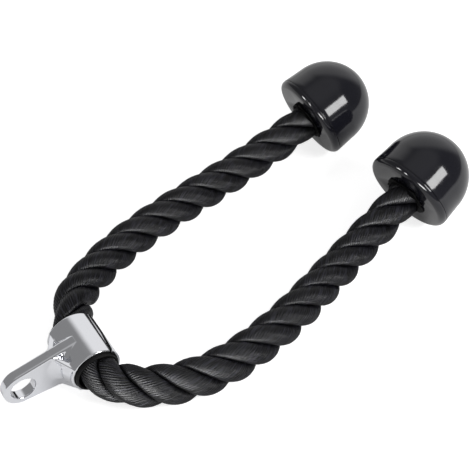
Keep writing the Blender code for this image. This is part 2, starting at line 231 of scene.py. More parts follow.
@dataclass(frozen=True)
class LaidRopeYarn:
    """Black polypropylene multifilament, spun to yarns and laid in three strands: deep black in the
    crevices, with a waxy grey sheen that breaks into streaks along the yarns. The lighter streaks are
    painted glints, yarn highlights painted into the base colour."""

    dark: str = "#050507"
    # The lighter of the two colours is a painted highlight, laid on in streaks along the yarns.
    glint_colour: str = "#2b2b33"
    roughness: float = 0.27
    yarn_mm: float = 1.74
    streak_width_mm: float = 1.1    # width of the painted glint streaks, about two thirds of a yarn, so that it shows at a step away
    streak_length_mm: float = 14.0
    fibre_width_mm: float = 0.35    # real filaments are a tenth of this, too fine to show
    fibre_length_mm: float = 5.0
    fibre_height_mm: float = 0.16
    strand_step: float = 7.0        # keeps the noise of one strand apart from the next one's

    def build(self) -> bpy.types.Material:
        """Makes the material. It reads the lay attribute: millimetres round a strand and along it.

        Returns:
            Black laid rope with painted glint streaks and fibres that follow the yarns.
        """
        material, tree, surface = new_material("black_polypropylene_laid_rope")
        lay = add_node(tree, "ShaderNodeAttribute", {"attribute_name": "lay"}).outputs["Vector"]
        streaks = self.along_yarns(tree, lay, self.streak_width_mm, self.streak_length_mm, 2.0)
        fibres = self.along_yarns(tree, lay, self.fibre_width_mm, self.fibre_length_mm, 3.0)
        # Painted highlight: where the streak noise runs high, the base colour turns lighter, as glints
        # painted along the yarns.
        painted_glints = add_node(tree, "ShaderNodeMapRange", {"interpolation_type": "SMOOTHSTEP"},
                          {"Value": streaks, "From Min": 0.46, "From Max": 0.72}).outputs["Result"]
        shade = add_node(tree, "ShaderNodeMix", {"data_type": "RGBA"},
                         {"Factor": painted_glints, 6: linear(self.dark), 7: linear(self.glint_colour)})
        around = add_node(tree, "ShaderNodeSeparateXYZ", None, {"Vector": lay}).outputs["X"]
        crest = add_node(tree, "ShaderNodeMath", {"operation": "PINGPONG"},
                         {0: around, 1: self.yarn_mm / 2}).outputs[0]
        groove = add_node(tree, "ShaderNodeMapRange", None,
                          {"Value": crest, "From Min": 0.25 * self.yarn_mm, "From Max": 0.5 * self.yarn_mm,
                           "To Min": 0.0, "To Max": 0.35}).outputs["Result"]
        rough = add_node(tree, "ShaderNodeMapRange", None,
                         {"Value": fibres, "From Min": 0.25, "From Max": 0.75,
                          "To Min": self.roughness - 0.08, "To Max": self.roughness + 0.16})
        rough = add_node(tree, "ShaderNodeMath", {"operation": "ADD"},
                         {0: rough.outputs["Result"], 1: groove})
        bump = add_node(tree, "ShaderNodeBump", None,
                        {"Height": fibres, "Distance": self.fibre_height_mm * MM, "Strength": 0.9})
        shader = add_node(tree, "ShaderNodeBsdfPrincipled", None,
                          {"Base Color": shade.outputs[2], "Roughness": rough.outputs[0],
                           "IOR": 1.49, "Specular IOR Level": 0.2, "Normal": bump.outputs["Normal"]})
        tree.links.new(shader.outputs["BSDF"], surface)
        return material

    def along_yarns(self, tree: bpy.types.NodeTree, lay: bpy.types.NodeSocket, width_mm: float,
                    length_mm: float, detail: float) -> bpy.types.NodeSocket:
        """Noise drawn out along the yarns.

        Args:
            tree: The material's tree.
            lay: The lay attribute.
            width_mm: Size of a grain across the yarns.
            length_mm: Size of a grain along them.
            detail: Finer layers of noise.

        Returns:
            A value from zero to one.
        """
        drawn = add_node(tree, "ShaderNodeMapping", None,
                         {"Vector": lay, "Scale": (1 / width_mm, 1 / length_mm, self.strand_step)})
        noise = add_node(tree, "ShaderNodeTexNoise", None,
                         {"Vector": drawn.outputs["Vector"], "Scale": 1.0, "Detail": detail,
                          "Roughness": 0.6})
        return noise.outputs["Fac"]


@dataclass(frozen=True)
class GlossPlastic:
    """Black ABS, injection moulded in a polished tool: near black, with clean softbox reflections
    that a slight moulding wave bends."""

    colour: str = "#16161c"
    roughness: float = 0.09
    ior: float = 1.46
    wave_mm: float = 16.0
    wave_height_mm: float = 0.06
    haze_mm: float = 5.0

    def build(self) -> bpy.types.Material:
        """Makes the material.

        Returns:
            Glossy black plastic with a slow wave and faint handling haze.
        """
        material, tree, surface = new_material("black_abs_injection_moulded_gloss")
        place = add_node(tree, "ShaderNodeTexCoord").outputs["Object"]
        wave = add_node(tree, "ShaderNodeTexNoise", None,
                        {"Vector": place, "Scale": 1 / (self.wave_mm * MM), "Detail": 1.0,
                         "Roughness": 0.4})
        bump = add_node(tree, "ShaderNodeBump", None,
                        {"Height": wave.outputs["Fac"], "Distance": self.wave_height_mm * MM,
                         "Strength": 1.0})
        haze = add_node(tree, "ShaderNodeTexNoise", None,
                        {"Vector": place, "Scale": 1 / (self.haze_mm * MM), "Detail": 5.0,
                         "Roughness": 0.65})
        rough = add_node(tree, "ShaderNodeMapRange", None,
                         {"Value": haze.outputs["Fac"], "From Min": 0.4, "From Max": 0.8,
                          "To Min": self.roughness, "To Max": self.roughness + 0.08})
        shader = add_node(tree, "ShaderNodeBsdfPrincipled", None,
                          {"Base Color": linear(self.colour), "Roughness": rough.outputs["Result"],
                           "IOR": self.ior, "Normal": bump.outputs["Normal"]})
        tree.links.new(shader.outputs["BSDF"], surface)
        return material


@dataclass(frozen=True)
class MattBlack:
    """A matt black soft finish, for the rubber liner and the wound tape."""

    name: str
    colour: str
    roughness: float
    grain_mm: float
    grain_height_mm: float

    def build(self) -> bpy.types.Material:
        """Makes the material.

        Returns:
            Matt black with a fine grain.
        """
        material, tree, surface = new_material(self.name)
        place = add_node(tree, "ShaderNodeTexCoord").outputs["Object"]
        grain = add_node(tree, "ShaderNodeTexNoise", None,
                         {"Vector": place, "Scale": 1 / (self.grain_mm * MM), "Detail": 3.0})
        bump = add_node(tree, "ShaderNodeBump", None,
                        {"Height": grain.outputs["Fac"], "Distance": self.grain_height_mm * MM,
                         "Strength": 0.7})
        shader = add_node(tree, "ShaderNodeBsdfPrincipled", None,
                          {"Base Color": linear(self.colour), "Roughness": self.roughness,
                           "IOR": 1.5, "Specular IOR Level": 0.25, "Normal": bump.outputs["Normal"]})
        tree.links.new(shader.outputs["BSDF"], surface)
        return material


@dataclass(frozen=True)
class ZincSteel:
    """Turned steel under bright zinc plate: a dull grey metal with the faint mottle of the plate."""

    colour: str = "#b9bcc0"
    roughness: float = 0.34
    spangle_mm: float = 1.5
    spangle_height_mm: float = 0.01

    def build(self) -> bpy.types.Material:
        """Makes the material.

        Returns:
            Zinc-plated steel with a mottled, slightly rough surface.
        """
        material, tree, surface = new_material("zinc_plated_turned_steel")
        place = add_node(tree, "ShaderNodeTexCoord").outputs["Object"]
        spangle = add_node(tree, "ShaderNodeTexVoronoi", None,
                           {"Vector": place, "Scale": 1 / (self.spangle_mm * MM)})
        rough = add_node(tree, "ShaderNodeMapRange", None,
                         {"Value": spangle.outputs["Distance"], "From Min": 0.0, "From Max": 0.8,
                          "To Min": self.roughness - 0.06, "To Max": self.roughness + 0.10})
        bump = add_node(tree, "ShaderNodeBump", None,
                        {"Height": spangle.outputs["Distance"],
                         "Distance": self.spangle_height_mm * MM, "Strength": 0.4})
        shader = add_node(tree, "ShaderNodeBsdfPrincipled", None,
                          {"Base Color": linear(self.colour), "Metallic": 1.0,
                           "Roughness": rough.outputs["Result"], "Normal": bump.outputs["Normal"]})
        tree.links.new(shader.outputs["BSDF"], surface)
        return material


def select_only(obj: bpy.types.Object) -> None:
    """Selects one object alone and makes it the active one.

    Args:
        obj: The piece to work on.
    """
    bpy.ops.object.select_all(action="DESELECT")
    bpy.context.view_layer.objects.active = obj
    obj.select_set(True)


def open_edit(obj: bpy.types.Object) -> None:
    """Opens one object alone in edit mode, with nothing of it selected.

    Args:
        obj: The piece to work on.
    """
    select_only(obj)
    bpy.ops.object.mode_set(mode="EDIT")
    bpy.ops.mesh.select_all(action="DESELECT")


def close_edit() -> None:
    """Goes back to object mode."""
    bpy.ops.object.mode_set(mode="OBJECT")


def pick(obj: bpy.types.Object, kind: str, wanted: ElementTest) -> None:
    """Selects edges or faces of the mesh in edit mode by where they are.

    Args:
        obj: The piece, open in edit mode.
        kind: EDGE or FACE.
        wanted: Tells from one element, as the mesh holds it, whether it is selected.
    """
    bpy.ops.mesh.select_mode(type=kind)
    bpy.ops.mesh.select_all(action="DESELECT")
    bpy.ops.object.mode_set(mode="OBJECT")
    mesh = obj.data
    for element in {"EDGE": mesh.edges, "FACE": mesh.polygons}[kind]:
        if wanted(element):
            element.select = True
    bpy.ops.object.mode_set(mode="EDIT")


def both_ends(mesh: bpy.types.Mesh, test: PointTest) -> ElementTest:
    """Makes an edge test from a test of points.

    Args:
        mesh: The mesh that the edges belong to.
        test: Tells from a point whether it is wanted.

    Returns:
        A test that holds where it holds for both ends of an edge.
    """
    return lambda edge: all(test(mesh.vertices[k].co) for k in edge.vertices)


def apply_boolean(obj: bpy.types.Object, other: bpy.types.Object, operation: str) -> None:
    """Joins or cuts a piece with another one, which is then removed.

    Args:
        obj: The piece that is kept.
        other: The shape that it is joined with or cut by.
        operation: UNION or DIFFERENCE.
    """
    modifier = obj.modifiers.new(operation.lower(), "BOOLEAN")
    modifier.operation = operation
    modifier.solver = "EXACT"
    modifier.object = other
    apply_modifier(obj, modifier.name)
    bpy.data.objects.remove(other)


def apply_modifier(obj: bpy.types.Object, name: str) -> None:
    """Applies one modifier.

    Args:
        obj: The piece.
        name: The modifier's name on it.
    """
    select_only(obj)
    bpy.ops.object.modifier_apply(modifier=name)


def cylinder(name: str, radius: float, low: float, high: float, sides: int,
             along: str = "Z") -> bpy.types.Object:
    """Adds a cylinder primitive at its size and place, with its place in its mesh.

    Args:
        name: The object's name.
        radius: Its radius.
        low: Where it starts on its axis.
        high: Where it ends.
        sides: How many sides it has.
        along: X or Z, the axis that it runs along.

    Returns:
        The cylinder.
    """
    middle = (low + high) / 2
    turned = along == "X"
    bpy.ops.object.select_all(action="DESELECT")
    bpy.ops.mesh.primitive_cylinder_add(
        vertices=sides, radius=radius, depth=high - low,
        location=(middle, 0, 0) if turned else (0, 0, middle),
        rotation=(0, math.pi / 2 if turned else 0, 0))
    obj = bpy.context.object
    obj.name = name
    bpy.ops.object.transform_apply(location=True, rotation=True, scale=True)
    return obj


def round_union(first: np.ndarray, second: np.ndarray, radius: float | np.ndarray) -> np.ndarray:
    """Signed distance to two forms joined with a fillet.

    Args:
        first: Signed distance to one form.
        second: Signed distance to the other.
        radius: The fillet's radius.

    Returns:
        Negative values inside.
    """
    fillet = np.hypot(np.maximum(radius - first, 0), np.maximum(radius - second, 0))
    return np.maximum(radius, np.minimum(first, second)) - fillet


def round_both(first: np.ndarray, second: np.ndarray, radius: float) -> np.ndarray:
    """Signed distance to what two forms share, with the edge between them eased.

    Args:
        first: Signed distance to one form.
        second: Signed distance to the other.
        radius: The radius of the eased edge.

    Returns:
        Negative values inside both.
    """
    eased = np.hypot(np.maximum(radius + first, 0), np.maximum(radius + second, 0))
    return np.minimum(-radius, np.maximum(first, second)) + eased


def settle(obj: bpy.types.Object, name: str, place: Matrix, finish: bpy.types.Material,
           angle: float = 40.0) -> bpy.types.Object:
    """Puts a finished mesh in its place, shades it and gives it its one material.

    Args:
        obj: The piece, modelled about the origin.
        name: The name that it keeps.
        place: Where it goes.
        finish: Its material.
        angle: Edges sharper than this stay sharp, in degrees.

    Returns:
        The piece.
    """
    obj.name = name
    obj.data.name = name
    obj.data.transform(place)
    obj.data.materials.clear()
    obj.data.materials.append(finish)
    select_only(obj)
    bpy.ops.object.shade_smooth_by_angle(angle=math.radians(angle), keep_sharp_edges=False)
    return obj


def ramp(value: float | np.ndarray, start: float, length: float) -> np.ndarray:
    """The share of a length that a value lies past a start, held between zero and one."""
    return np.clip((value - start) / length, 0, 1)


def ease(share: np.ndarray) -> np.ndarray:
    """Makes a share set in and end softly."""
    return share * share * (3 - 2 * share)


def distances_along(points: np.ndarray) -> np.ndarray:
    """The distance along a line at each of its points."""
    return np.concatenate([[0], np.cumsum(np.linalg.norm(np.diff(points, axis=0), axis=1))])


def read_line(points: np.ndarray, run: np.ndarray, places: np.ndarray) -> np.ndarray:
    """Reads a line at some distances along it.

    Args:
        points: The line's points.
        run: The distance at each of them.
        places: The distances that are wanted.

    Returns:
        A point for each wanted distance.
    """
    return np.stack([np.interp(places, run, points[:, k]) for k in range(points.shape[1])], 1)


def smooth_points(points: list[Vector], start: Vector, end: Vector) -> list[Vector]:
    """Reads a Catmull-Rom curve through a route's points.

    Args:
        points: The route.
        start: The direction in which it leaves its first point.
        end: The direction in which it reaches its last point.

    Returns:
        Close points on the curve.
    """
    steps = 24
    first = points[1] - start * (2 * (points[1] - points[0]).length)
    last = points[-2] + end * (2 * (points[-1] - points[-2]).length)
    ends = [first, *points, last]
    dense = []
    for a, b, c, d in zip(ends, ends[1:], ends[2:], ends[3:]):
        for k in range(steps):
            t = k / steps
            dense.append((b * 2 + (c - a) * t + (a * 2 - b * 5 + c * 4 - d) * t ** 2
                          + (b * 3 - a - c * 3 + d) * t ** 3) / 2)
    return [*dense, points[-1]]


@dataclass(frozen=True)
class StrandSection:
    """The section of one of the three strands: a third of the rope, round outside and flat on the two
    sides that press on its neighbours. Its own axes are x outwards from the rope's axis and y round."""

    crest_radius: float = LINER_BORE - MM / 50
    arc_radius: float = 0.0094
    flank_gap: float = 0.00012
    corner: float = 0.0025
    heart: float = 0.0072       # a point well inside, which the outline is seen from
    samples: int = 720
    search: float = 0.03        # a length that surely ends outside
    halvings: int = 40

    def outline(self) -> tuple[np.ndarray, np.ndarray, float]:
        """Works out the outline, evenly spaced along itself.

        Returns:
            Its points, its outward normals and its length.
        """
        angles = np.linspace(0, 2 * math.pi, self.samples, endpoint=False)
        rays = np.stack([np.cos(angles), np.sin(angles)], 1)
        near = np.zeros(self.samples)
        far = np.full(self.samples, self.search)
        for _ in range(self.halvings):
            half = (near + far) / 2
            inside = self.distance(np.array([self.heart, 0.0]) + rays * half[:, None]) < 0
            near, far = np.where(inside, half, near), np.where(inside, far, half)
        points = np.array([self.heart, 0.0]) + rays * near[:, None]
        closed = np.vstack([points, points[:1]])
        run = distances_along(closed)
        points = read_line(closed, run, np.linspace(0, run[-1], self.samples, endpoint=False))
        along = np.roll(points, -1, 0) - np.roll(points, 1, 0)
        along /= np.linalg.norm(along, axis=1)[:, None]
        return points, np.stack([along[:, 1], -along[:, 0]], 1), float(run[-1])

    def distance(self, at: np.ndarray) -> np.ndarray:
        """Signed distance to the section with its corners rounded.

        Args:
            at: Points in the section's plane.

        Returns:
            Negative values inside.
        """
        centre = np.array([self.crest_radius - self.arc_radius, 0.0])
        slant = math.radians(60)
        parts = np.stack([
            np.linalg.norm(at - centre, axis=1) - self.arc_radius,
            -at[:, 0] * math.sin(slant) + np.abs(at[:, 1]) * math.cos(slant) + self.flank_gap,
        ], 1) + self.corner
        outside = np.linalg.norm(np.maximum(parts, 0), axis=1)
        return outside + np.minimum(parts.max(1), 0) - self.corner


@dataclass
class LaidRope:
    """A stretch of the rope on its own line, as three strands with their yarns."""

    name: str
    line: np.ndarray            # close points on its middle line
    start: float                # where the line starts, counted from the clamp's mouth
    groove: float               # angle of a crevice at the mouth, from straight up, in radians
    pitch: float                # length of one turn of the lay
    pitch_change: float = 0.0   # how the lay tightens along the rope, turns per square metre
    ring_step: float = 0.0012
    yarns: int = 27
    samples_per_yarn: int = 4
    ridge: float = 0.00042      # how far a yarn stands out of its strand
    turn_rate: float = 1.594    # how fast the yarns go back round a strand, against the lay
    bulge: float = 0.0          # how far the strands spread on the side that the rope settled on
    bulge_side: tuple[float, float, float] = (0.826, 0.0, -0.564)
    mouth: tuple[Vector, Vector] | None = None   # a point on the sleeve's axis and its way out
    seed: int = 3
    wave: tuple[float, float] = (0.02, 0.05)            # how far apart a yarn's own highs lie
    wander: tuple[float, float] = (0.00001, 0.00006)    # how far it stands in and out there
    profile: tuple[float, ...] = (0.0, 0.30, 1.0, 0.30)     # a yarn's depth by column, from its crest
    skin_from: float = 0.0075       # yarns show from this far off the rope's axis
    skin_depth: float = 0.002
    shoulder_from: float = 0.0105   # and the strands spread from here outwards
    shoulder_depth: float = 0.0025
    held_start: float = 0.010       # the clamp and the cap keep the strands from spreading for so far
    held_end: float = 0.018
    freed_over: float = 0.02
    mouth_reach: float = 0.025      # the liner's lip is minded for so far along the rope
    mouth_flare: float = 1.5        # and outside it the rope may widen this steeply

    def frames(self) -> tuple[np.ndarray, ...]:
        """Spaces the rings along the line and finds their axes.

        Returns:
            Distance along the rope, centres, upward normals and sideways normals.
        """
        run = distances_along(self.line)
        count = max(2, round(run[-1] / self.ring_step) + 1)
        along = np.linspace(0, run[-1], count)
        centres = read_line(self.line, run, along)
        ahead = np.gradient(centres, axis=0)
        ahead /= np.linalg.norm(ahead, axis=1)[:, None]
        up = np.array([0.0, 0.0, 1.0]) - ahead[:, 2:] * ahead
        up /= np.linalg.norm(up, axis=1)[:, None]
        return along + self.start, centres, up, np.cross(ahead, up)

    def strand(self, number: int) -> tuple[np.ndarray, np.ndarray]:
        """Places the rings of one strand.

        Args:
            number: Which of the three.

        Returns:
            Points as rings by columns, and each ring's distance along the rope.
        """
        along, centres, up, side = self.frames()
        points, normals, length = StrandSection().outline()
        columns = self.yarns * self.samples_per_yarn
        turn = (self.groove + math.radians(60 + 120 * number)
                + 2 * math.pi * (along / self.pitch + self.pitch_change * along ** 2))
        outward = np.cos(turn)[:, None] * up + np.sin(turn)[:, None] * side
        around = -np.sin(turn)[:, None] * up + np.cos(turn)[:, None] * side

        column = np.arange(columns)
        place = (column[None, :] * length / columns - self.turn_rate * along[:, None]) % length
        index = place / length * len(points)
        low = np.floor(index).astype(int) % len(points)
        share = (index - np.floor(index))[..., None]
        at = points[low] * (1 - share) + points[(low + 1) % len(points)] * share
        normal = normals[low] * (1 - share) + normals[(low + 1) % len(points)] * share

        rng = np.random.default_rng(self.seed + number)
        yarn = column // self.samples_per_yarn
        wave = rng.uniform(*self.wave, self.yarns)[yarn]
        phase = rng.uniform(0, 2 * math.pi, self.yarns)[yarn]
        height = rng.uniform(*self.wander, self.yarns)[yarn]
        profile = np.array(self.profile)[column % self.samples_per_yarn]
        showing = ramp(np.linalg.norm(at, axis=2), self.skin_from, self.skin_depth)
        sink = self.ridge * profile[None, :] + height[None, :] * (
            1 + np.sin(2 * math.pi * along[:, None] / wave[None, :] + phase[None, :]))
        at = at - normal * (sink * showing)[..., None]
        spoke = at[..., :1] * outward[:, None, :] + at[..., 1:] * around[:, None, :]
        reach = np.linalg.norm(spoke, axis=2)
        facing = np.clip(spoke @ np.array(self.bulge_side) / np.maximum(reach, MM), 0, 1)
        free = (ramp(along, self.held_start, self.freed_over)
                * ramp(along[-1] - self.held_end - along, 0, self.freed_over))
        shoulder = ramp(reach, self.shoulder_from, self.shoulder_depth)
        spread = self.bulge * facing ** 3 * shoulder * free[:, None]
        placed = centres[:, None, :] + spoke * (1 + spread / np.maximum(reach, MM))[..., None]
        placed[..., 2] = np.maximum(placed[..., 2], MM / 10)
        return self.within_mouth(placed, along), along

    def within_mouth(self, placed: np.ndarray, along: np.ndarray) -> np.ndarray:
        """Presses what would lie in the liner's wall against its bore.

        Args:
            placed: Points as rings by columns.
            along: Each ring's distance along the rope.

        Returns:
            The same points, none in the liner.
        """
        if self.mouth is None:
            return placed
        middle, out = (np.array(v) for v in self.mouth)
        depth = (placed - middle) @ out
        spoke = placed - middle - depth[..., None] * out
        reach = np.linalg.norm(spoke, axis=2)
        limit = LINER_BORE - MM / 10 + np.maximum(depth - MOUTH, 0) * self.mouth_flare
        excess = np.where((along < self.mouth_reach)[:, None], np.maximum(reach - limit, 0), 0)
        return placed - spoke * (excess / np.maximum(reach, MM))[..., None]

    def build(self, finish: bpy.types.Material) -> bpy.types.Object:
        """Makes the mesh of the three strands, each closed at both ends.

        Args:
            finish: The rope's material.

        Returns:
            The new object, which rides on nothing yet.
        """
        vertices, faces, lay = [], [], []
        yarn_mm = StrandSection().outline()[2] / MM
        for number in range(3):
            rings, along = self.strand(number)
            count, columns = rings.shape[:2]
            base = len(vertices)
            vertices.extend(map(tuple, rings.reshape(-1, 3)))
            ends = (rings[0].mean(0), rings[-1].mean(0))
            vertices.extend(map(tuple, ends))
            across = [yarn_mm * k / columns for k in range(columns + 1)]
            for i in range(count - 1):
                first, second = base + i * columns, base + (i + 1) * columns
                here, there = along[i] / MM, along[i + 1] / MM
                for k in range(columns):
                    after = (k + 1) % columns
                    faces.append((first + k, first + after, second + after, second + k))
                    lay += [(across[k], here, number), (across[k + 1], here, number),
                            (across[k + 1], there, number), (across[k], there, number)]
            for ring, middle, flipped in ((0, base + count * columns, True),
                                          (count - 1, base + count * columns + 1, False)):
                for k in range(columns):
                    a, b = base + ring * columns + k, base + ring * columns + (k + 1) % columns
                    faces.append((b, a, middle) if flipped else (a, b, middle))
                    lay += [(across[k], along[ring] / MM, number)] * 3
        mesh = bpy.data.meshes.new(self.name)
        mesh.from_pydata(vertices, [], faces)
        mesh.attributes.new("lay", "FLOAT_VECTOR", "CORNER")
        mesh.attributes["lay"].data.foreach_set("vector", np.array(lay, np.float32).ravel())
        mesh.materials.append(finish)
        mesh.shade_smooth()
        obj = bpy.data.objects.new(self.name, mesh)
        bpy.context.scene.collection.objects.link(obj)
        return obj


@dataclass
class RopeLeg:
    """One leg of the rope, from inside the clamp to inside its stop cap."""

    plan: LegPlan
    clamp_at: Vector
    out: Vector                 # the way out of the sleeve
    face: Vector                # middle of the cap's face
    axis: Vector                # from that face to the cap's top
    pitch_change: float = -3.0
    step: float = 0.0005        # between two points of its line
    overlap: float = 0.0043     # how far the leg's mesh starts inside the mouth
    entry: float = 0.0045       # how far it runs into the cap
    hold: float = 0.010         # a distance past the mouth
    bulge: float = 0.0011
    ease_reach: float = 0.006   # how far to each side the easing of the bend averages
    ease_from: float = -0.002   # where it sets in, counted from the mouth
    ease_over: float = 0.004
    ease_to: float = 0.045      # and where it has died out
    ease_fade: float = 0.015
    crowded: float = 0.008      # how far past the mouth the rope gives most

    def line(self) -> list[Vector]:
        """The middle line from the mouth to the cap's face, as the construction has it.

        Returns:
            Close points.
        """
        foot = Vector((self.clamp_at.x, self.clamp_at.y, 0))
        tail = self.face - self.axis * (WHIPPING_PROUD + 2 * FIT)
        points = [self.clamp_at + self.out * (MOUTH + FIT), *(foot + Vector(p) for p in self.plan.route),
                  self.face - self.axis * CAP_RUN, tail]
        return smooth_points(points, self.out, self.axis)

    def relaxed(self, line: np.ndarray) -> np.ndarray:
        """Eases the tight bend just outside the mouth, as the stiff strands do.

        Args:
            line: Points a step apart, starting inside the mouth.

        Returns:
            The same points, eased near the clamp.
        """
        width = int(self.ease_reach / self.step)
        padded = np.vstack([line[:1]] * width + [line] + [line[-1:]] * width)
        kernel = np.hanning(2 * width + 1)
        kernel /= kernel.sum()
        eased = np.stack([np.convolve(padded[:, k], kernel, "valid") for k in range(3)], 1)
        along = np.arange(len(line)) * self.step - self.overlap
        weight = ramp(along, self.ease_from, self.ease_over) * ramp(self.ease_to - along, 0, self.ease_fade)
        back, sideways, length = self.plan.give
        crowd = (ease(ramp(along, -self.crowded, 2 * self.crowded))
                 * (1 - ease(ramp(along, self.crowded, length))))
        inward = Vector((0, 0, 1)).cross(self.out) * math.copysign(1.0, self.out.x)
        push = np.array(inward * sideways - self.out * back)
        return line + (eased - line) * weight[:, None] + crowd[:, None] * push

    def build(self, finish: bpy.types.Material) -> bpy.types.Object:
        """Models the leg and hides the imported pieces of rope that it stands in for.

        Args:
            finish: The rope's material.

        Returns:
            The leg.
        """
        side = self.plan.side.value
        line = self.line()
        lead = [line[0] - self.out * self.overlap]
        tail = [self.face + self.axis * self.entry]
        points = np.array([tuple(p) for p in (*lead, *line, *tail)])
        run = distances_along(points)
        points = read_line(points, run, np.arange(0, run[-1], self.step))
        obj = LaidRope(f"rope_{side}", self.relaxed(points), -self.overlap, math.radians(self.plan.groove),
                       self.plan.pitch, self.pitch_change, bulge=self.bulge,
                       mouth=(self.clamp_at, self.out), seed=self.plan.yarn_seed).build(finish)

        travelled, bend_end = 0.0, line[-1]
        for a, b in zip(line, line[1:]):
            travelled += (b - a).length
            if travelled >= BEND_LENGTH:
                bend_end = b
                break
        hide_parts(f"rope_bend_{side}", f"rope_leg_{side}", f"rope_tail_{side}")
        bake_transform(obj)
        return obj


@dataclass
class Clamp:
    """The chromed casting that holds the fold of the rope: sleeve, flat tab with the eye, and two
    struts, with its rubber liner and the rope inside it. It is modelled about the sleeve's axis,
    which is X, with the tab towards -Y."""

    centre: Vector
    yaw: float
    tab_reach: float = 0.047
    tab_end: float = 0.014
    tab_thickness: float = 0.008
    tab_edge: float = 0.0014
    web_start: float = 0.002        # the tab ends this far before it reaches the sleeve's axis
    web_fade: float = 0.002
    web_fillet: float = 0.0052
    web_fillet_from: float = 0.2    # where that fillet sets in towards the tab, in sleeve radii
    web_fillet_over: float = 0.7
    eye_radius: float = 0.009
    eye_edge: float = 0.0009
    slit_width: float = 0.0020
    slit_angle: float = math.radians(30)
    slit_slant: float = 0.19        # how steeply the near half runs back towards the tab
    slit_edge: float = 0.25 * MM
    rib_proud: float = 0.0007       # how far the squeezed rubber stands out of the slit
    rib_round: float = 0.45         # rounding of its top, as a share of its width
    strut_root: float = 0.0225      # its outer face at the tab, counted from the sleeve's axis
    strut_foot: float = 0.0138      # its outer face at the sleeve's end
    strut_wall: float = 0.0036
    root_height: float = 0.0150     # half its height at the tab
    foot_height: float = 0.0117     # half its height at the sleeve's end
    strut_edge: float = 0.0007
    strut_fillet: float = 0.0016
    front_fillet: float = 0.0060    # the wider fillet on a strut's outer face, next to the tab
    front_height: float = 0.012     # it dies out towards this height
    front_height_fade: float = 0.006
    front_end: float = 0.017        # and towards here on the sleeve's length
    front_end_fade: float = 0.007
    bore_edge: float = 0.4 * MM
    rim_edge: float = 0.0007
    voxel: float = 0.00045          # size of a quad of its net
    smoothing: tuple[int, ...] = (3, 3, 2, 2, 1)
    draws: int = 8                  # steps that a corner may take onto the form
    round_sides: int = 128
    lip_edge: float = 0.5 * MM
    fold_inset: float = 4.3 * MM    # how far inside the mouths the legs' meshes take over
    fold_points: int = 60

    @property
    def lean(self) -> float:
        """How far the tab slopes down, so that sleeve and tab both lie on the floor."""
        return math.asin((CLAMP_RADIUS - self.tab_end) / self.tab_reach)

    def place(self) -> Matrix:
        """The casting's place in the attachment."""
        return (Matrix.Translation(self.centre) @ Matrix.Rotation(self.yaw, 4, "Z")
                @ Matrix.Rotation(self.lean, 4, "X"))

    def slit_place(self, half: float) -> Matrix:
        """Turns something modelled upright over the axis to one half of the slit.

        Args:
            half: Minus one for the far half, one for the near half.

        Returns:
            The move, with the slant of the near half.
        """
        slant = Matrix.Identity(4)
        slant[1][0] = -self.slit_slant if half > 0 else 0.0
        return Matrix.Rotation(self.slit_angle - math.pi / 2, 4, "X") @ slant

    def cast(self) -> bpy.types.Object:
        """Models the casting: a net of quads over its form, smoothed and drawn onto it again.

        The casting is one flowing form, and solids joined by booleans tear at its shallow blends.

        Returns:
            The casting about the origin.
        """
        mesh = bpy.data.meshes.new("clamp_casting")
        mesh.from_pydata(*self.net())
        body = bpy.data.objects.new("clamp_casting", mesh)
        bpy.context.scene.collection.objects.link(body)
        for repeats in self.smoothing:
            self.draw_onto_form(body)
            open_edit(body)
            bpy.ops.mesh.select_all(action="SELECT")
            bpy.ops.mesh.normals_make_consistent(inside=False)
            bpy.ops.mesh.vertices_smooth(factor=0.5, repeat=repeats)
            close_edit()
        self.draw_onto_form(body)
        return body

    def net(self) -> tuple[list, list, list]:
        """Spans a net of quads over the casting's form, one corner in each cell that it cuts.

        Returns:
            Corners, no edges, and faces, as a mesh takes them.
        """
        end = CLAMP_LENGTH / 2
        low = np.array([-end, -self.tab_reach - self.tab_end, -CLAMP_RADIUS]) - 2 * self.voxel
        high = np.array([end, CLAMP_RADIUS, CLAMP_RADIUS]) + 3 * self.voxel
        ways = [np.arange(a, b, self.voxel) for a, b in zip(low, high)]
        grid = np.stack(np.meshgrid(*ways, indexing="ij"), -1)
        level = self.form(grid.reshape(-1, 3)).reshape(grid.shape[:3])
        cells = np.array(level.shape) - 1
        total, count = np.zeros((*cells, 3)), np.zeros(cells)
        cuts = []
        for axis in range(3):
            first = level.take(range(cells[axis]), axis)
            second = level.take(range(1, cells[axis] + 1), axis)
            cut = (first < 0) != (second < 0)
            share = np.where(cut, first / np.where(cut, first - second, 1), 0)
            at = grid.take(range(cells[axis]), axis) + share[..., None] * self.voxel * np.eye(3)[axis]
            across = [k for k in range(3) if k != axis]
            for shift in ((0, 0), (1, 0), (0, 1), (1, 1)):
                part = [slice(0, cells[axis])] * 3
                for k, by in zip(across, shift):
                    part[k] = slice(by, by + cells[k])
                total += np.where(cut[tuple(part)][..., None], at[tuple(part)], 0)
                count += cut[tuple(part)]
            cuts.append((np.argwhere(cut), across))
        number = np.full(cells, -1)
        number[count > 0] = np.arange(int((count > 0).sum()))
        faces = []
        for edges, across in cuts:
            corners = []
            for shift in ((0, 0), (1, 0), (1, 1), (0, 1)):
                cell = edges.copy()
                cell[:, across[0]] -= shift[0]
                cell[:, across[1]] -= shift[1]
                corners.append(number[tuple(cell.T)])
            faces += np.stack(corners, 1).tolist()
        corners = total[count > 0] / count[count > 0][:, None]
        return corners.tolist(), [], faces

